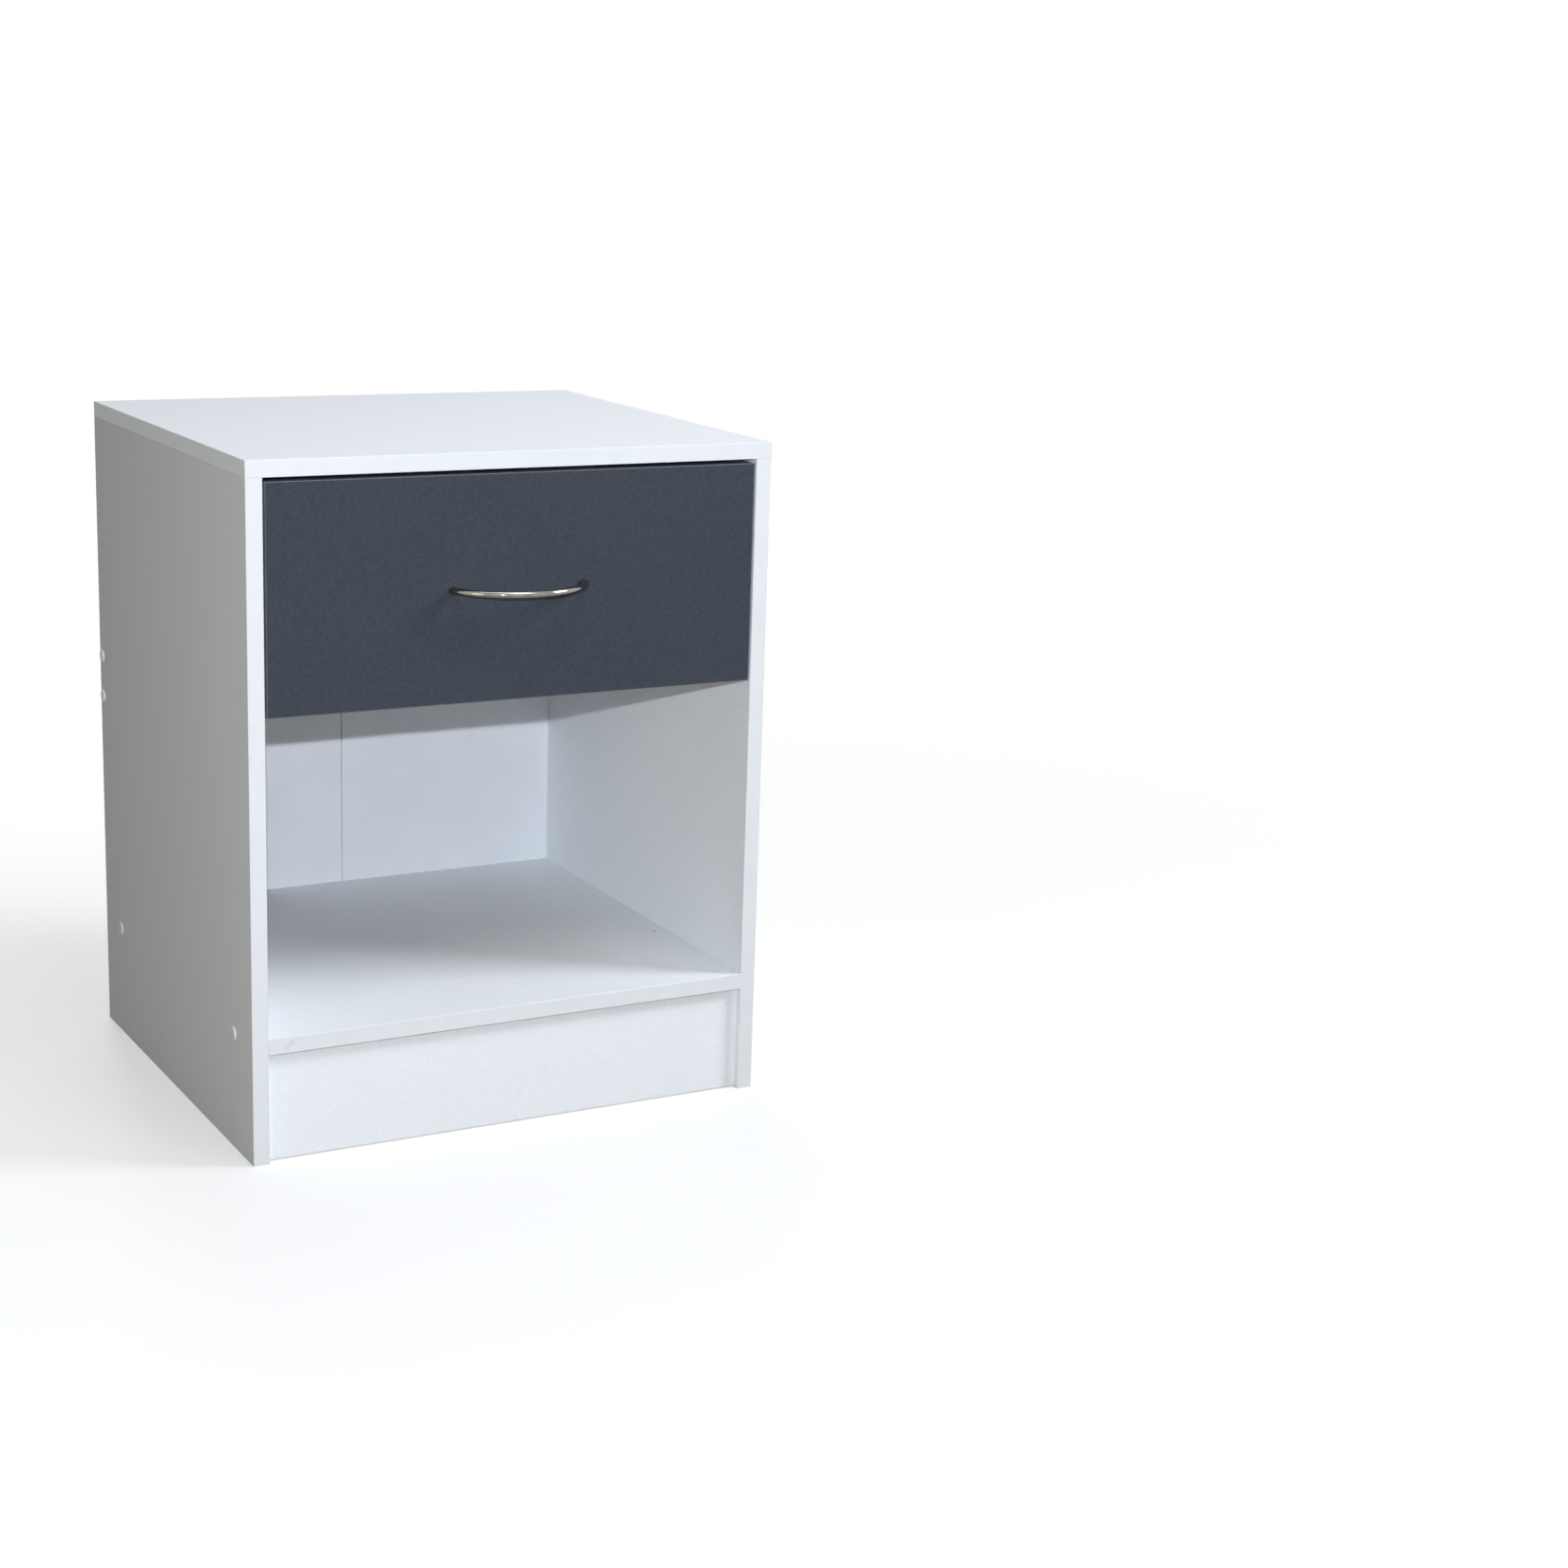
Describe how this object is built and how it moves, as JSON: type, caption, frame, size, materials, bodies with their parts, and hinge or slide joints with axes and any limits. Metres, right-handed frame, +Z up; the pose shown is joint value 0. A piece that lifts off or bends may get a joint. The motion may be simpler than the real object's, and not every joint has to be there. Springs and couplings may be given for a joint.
{
  "type": "nightstand with drawer",
  "caption": "Bedside cabinet with a sliding drawer over an open compartment, a bow handle and a recessed plinth.",
  "frame": {"origin": "on the floor, under the middle of the whole object with its handle", "axes": "+X to the cabinet's right as seen from the front, -Y out of the front, +Z up"},
  "size_m": [0.402, 0.3946, 0.5],
  "materials": {
    "white_melamine": "matt white melamine on 12 mm chipboard",
    "white_edge_band": "satin white melamine edge band",
    "anthracite_melamine": "matt anthracite melamine on 12 mm chipboard",
    "anthracite_edge_band": "satin anthracite melamine edge band",
    "white_hardboard": "hardboard, painted white inside, bare brown fibre outside",
    "white_tape": "matt paper-backed tape",
    "chrome": "polished chrome plating on cast zinc",
    "zinc_steel": "bright zinc-plated steel",
    "cast_zinc": "dull die-cast zinc",
    "white_steel": "white powder-coated sheet steel",
    "white_plastic": "white moulded plastic",
    "nylon": "natural white nylon",
    "beech": "plain beech"
  },
  "bodies": {
    "carcass": {"top_panel": "white_melamine", "left_side_panel": "white_melamine", "right_side_panel": "white_melamine", "bottom_shelf": "white_melamine", "plinth": "white_melamine", "rear_rail": "white_melamine", "top_edge_band": "white_edge_band", "side_edge_bands": "white_edge_band", "shelf_edge_band": "white_edge_band", "back_panel_left": "white_hardboard", "back_panel_right": "white_hardboard", "back_fold_tape": "white_tape", "back_nails": "zinc_steel", "carcass_screws": "zinc_steel", "screw_caps": "white_plastic", "top_cams": "cast_zinc", "top_cam_bolts": "zinc_steel", "top_dowels": "beech", "plinth_dowels": "beech", "cabinet_runner_left": "white_steel", "cabinet_runner_right": "white_steel", "cabinet_runner_screws": "zinc_steel", "cabinet_roller_pins": "zinc_steel"},
    "drawer": {"drawer_front": "anthracite_melamine", "drawer_front_edge_band": "anthracite_edge_band", "drawer_side_left": "white_melamine", "drawer_side_right": "white_melamine", "drawer_back": "white_melamine", "drawer_bottom": "white_hardboard", "drawer_bottom_nails": "zinc_steel", "drawer_cams": "cast_zinc", "drawer_cam_bolts": "zinc_steel", "drawer_dowels": "beech", "drawer_back_screws": "zinc_steel", "handle": "chrome", "handle_screws": "zinc_steel", "drawer_runner_left": "white_steel", "drawer_runner_right": "white_steel", "drawer_runner_screws": "zinc_steel", "drawer_roller_pins": "zinc_steel"},
    "front_roller_left": {"front_roller_left": "nylon"},
    "front_roller_right": {"front_roller_right": "nylon"},
    "rear_roller_left": {"rear_roller_left": "nylon"},
    "rear_roller_right": {"rear_roller_right": "nylon"}
  },
  "joints": [
    {"name": "drawer_slide", "type": "slide", "parent": "carcass", "child": "drawer", "axis": [0, -1, 0], "range_m": [0, 0.225]},
    {"name": "front_roller_left_spin", "type": "hinge", "parent": "carcass", "child": "front_roller_left", "pos_m": [-0.1824, -0.1343, 0.3492], "axis": [1, 0, 0], "range_deg": [0, 1720]},
    {"name": "front_roller_right_spin", "type": "hinge", "parent": "carcass", "child": "front_roller_right", "pos_m": [0.1824, -0.1343, 0.3492], "axis": [1, 0, 0], "range_deg": [0, 1720]},
    {"name": "rear_roller_left_spin", "type": "hinge", "parent": "drawer", "child": "rear_roller_left", "pos_m": [-0.182, 0.1347, 0.3472], "axis": [1, 0, 0], "range_deg": [0, 1720]},
    {"name": "rear_roller_right_spin", "type": "hinge", "parent": "drawer", "child": "rear_roller_right", "pos_m": [0.182, 0.1347, 0.3472], "axis": [1, 0, 0], "range_deg": [0, 1720]}
  ],
  "couplings": [
    {"joint": "front_roller_left_spin", "follows": "drawer_slide", "rad_per_m": 133.33},
    {"joint": "front_roller_right_spin", "follows": "drawer_slide", "rad_per_m": 133.33},
    {"joint": "rear_roller_left_spin", "follows": "drawer_slide", "rad_per_m": 133.33},
    {"joint": "rear_roller_right_spin", "follows": "drawer_slide", "rad_per_m": 133.33}
  ]
}
